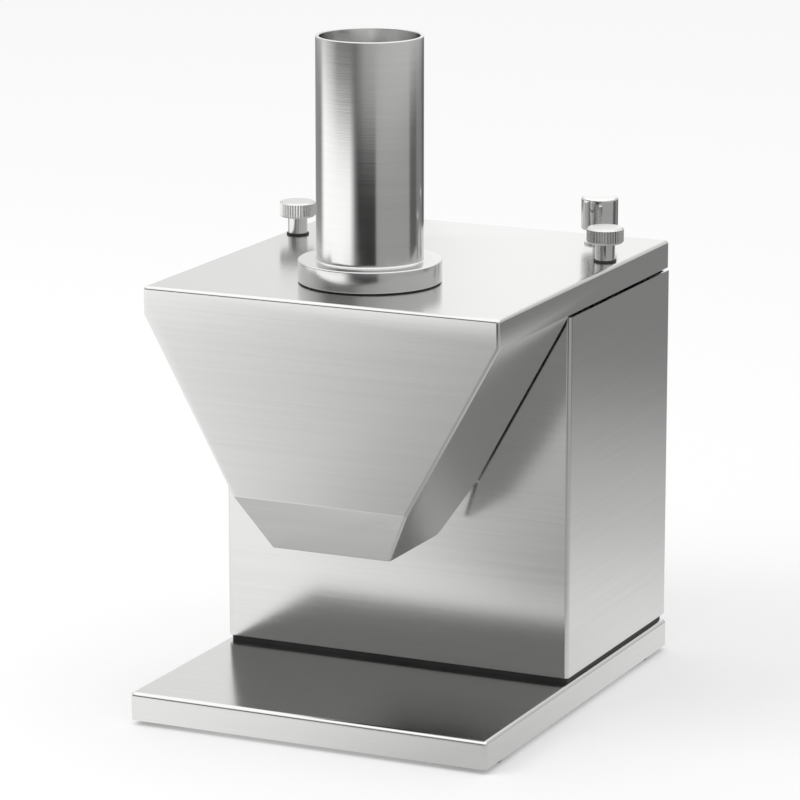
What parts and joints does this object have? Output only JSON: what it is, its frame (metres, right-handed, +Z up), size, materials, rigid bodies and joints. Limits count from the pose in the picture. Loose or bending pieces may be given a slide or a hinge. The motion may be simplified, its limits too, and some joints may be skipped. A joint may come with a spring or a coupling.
{
  "type": "sausage slicer",
  "caption": "Electric bench sausage slicer: feed tube over a turning sickle blade, lift-off lid with a tapered discharge hood, motor housing behind, on a tray base.",
  "frame": {"origin": "on the floor under the middle of the base tray", "axes": "+Z up, -Y to the front where the hood and its mouth are, +X to the right seen from the front"},
  "size_m": [0.22, 0.2686, 0.3886],
  "materials": {
    "stainless_sheet": "satin brushed stainless sheet",
    "stainless_tube": "drawn stainless tube, fine satin",
    "stainless_turned": "turned stainless",
    "polished_steel": "mirror polished stainless",
    "blade_steel": "ground and honed stainless blade",
    "steel_fasteners": "bright zinc plated steel",
    "gear_steel": "machined case-hardened steel, oiled",
    "bearing_steel": "ground bearing steel",
    "bronze": "sintered bronze",
    "cast_aluminium": "die-cast aluminium, tumbled",
    "stator_steel": "varnished laminated steel",
    "rubber": "matt black rubber",
    "seal_rubber": "black silicone",
    "black_plastic": "black moulded plastic",
    "grey_plastic": "grey moulded plastic"
  },
  "bodies": {
    "machine_body": {"base_tray": "stainless_sheet", "feet": "rubber", "foot_nuts": "steel_fasteners", "base_seal": "seal_rubber", "motor_housing": "stainless_sheet", "housing_screws": "steel_fasteners", "housing_nuts": "steel_fasteners", "rear_cover": "stainless_sheet", "rear_cover_screws": "steel_fasteners", "top_deck": "stainless_sheet", "lid_posts": "stainless_turned", "lid_rest_pins": "stainless_turned", "shaft_seal": "seal_rubber", "switch_boot": "seal_rubber", "lid_switch": "black_plastic", "switch_bracket": "steel_fasteners", "gear_case": "cast_aluminium", "gear_cover": "cast_aluminium", "gear_cover_bolts": "steel_fasteners", "case_nuts": "steel_fasteners", "bearing_outer_rings": "bearing_steel", "shaft_bushes": "bronze", "stator_pack": "stator_steel", "motor_upper_bell": "cast_aluminium", "motor_lower_bell": "cast_aluminium", "motor_tie_bolts": "steel_fasteners", "fan_cover": "black_plastic", "power_inlet": "black_plastic", "terminal_block": "grey_plastic", "run_capacitor": "grey_plastic", "capacitor_clamp": "steel_fasteners"},
    "lid": {"lid_hood": "stainless_sheet", "feed_tube": "stainless_tube", "tube_collar": "stainless_turned", "collar_gasket": "seal_rubber", "collar_screws": "steel_fasteners", "slice_stop": "stainless_sheet", "stop_nuts": "steel_fasteners", "knob_bush": "stainless_turned", "bush_nut": "steel_fasteners", "knob_spring": "bearing_steel"},
    "blade_rotor": {"blade_shaft": "stainless_turned", "blade_hub": "stainless_turned", "cutting_blade": "blade_steel", "slice_pusher": "stainless_sheet", "blade_nut": "stainless_turned", "output_gear": "gear_steel", "bearing_inner_rings": "bearing_steel"},
    "middle_gear": {"middle_pinion_shaft": "gear_steel", "middle_wheel": "gear_steel"},
    "motor_armature": {"motor_shaft": "gear_steel", "motor_rotor": "stator_steel", "motor_pinion": "gear_steel", "cooling_fan": "black_plastic"},
    "thumb_rise_left_part": {"thumb_ring_left": "seal_rubber"},
    "thumb_left": {"thumb_screw_left": "stainless_turned"},
    "thumb_rise_right_part": {"thumb_ring_right": "seal_rubber"},
    "thumb_right": {"thumb_screw_right": "stainless_turned"},
    "push_knob": {"start_knob": "polished_steel", "knob_stem": "stainless_turned"}
  },
  "joints": [
    {"name": "lid_lift", "type": "slide", "parent": "machine_body", "child": "lid", "axis": [0, 0, 1], "range_m": [0, 0.16]},
    {"name": "blade_turn", "type": "hinge", "parent": "machine_body", "child": "blade_rotor", "pos_m": [0, 0.02, 0.2], "axis": [0, 0, 1], "continuous": true},
    {"name": "middle_turn", "type": "hinge", "parent": "machine_body", "child": "middle_gear", "pos_m": [0, 0.0575, 0.18], "axis": [0, 0, 1], "continuous": true},
    {"name": "motor_turn", "type": "hinge", "parent": "machine_body", "child": "motor_armature", "pos_m": [0, 0.0895, 0.12], "axis": [0, 0, 1], "continuous": true},
    {"name": "thumb_rise_left", "type": "slide", "parent": "lid", "child": "thumb_rise_left_part", "axis": [0, 0, 1], "range_m": [0, 0.0125]},
    {"name": "thumb_turn_left", "type": "hinge", "parent": "thumb_rise_left_part", "child": "thumb_left", "pos_m": [-0.098, 0.059, 0.26], "axis": [0, 0, 1], "range_deg": [0, 3600]},
    {"name": "thumb_rise_right", "type": "slide", "parent": "lid", "child": "thumb_rise_right_part", "axis": [0, 0, 1], "range_m": [0, 0.0125]},
    {"name": "thumb_turn_right", "type": "hinge", "parent": "thumb_rise_right_part", "child": "thumb_right", "pos_m": [0.098, 0.059, 0.26], "axis": [0, 0, 1], "range_deg": [0, 3600]},
    {"name": "knob_press", "type": "slide", "parent": "lid", "child": "push_knob", "axis": [0, 0, -1], "range_m": [0, 0.004], "stiffness_N_per_m": 400, "springref_m": -0.008, "deforming": ["knob_spring"]}
  ],
  "couplings": [
    {"joint": "middle_turn", "follows": "blade_turn", "ratio": -2.75},
    {"joint": "motor_turn", "follows": "blade_turn", "ratio": 8.25},
    {"joint": "thumb_turn_left", "follows": "thumb_rise_left", "rad_per_m": 5026.5},
    {"joint": "thumb_turn_right", "follows": "thumb_rise_right", "rad_per_m": 5026.5}
  ]
}
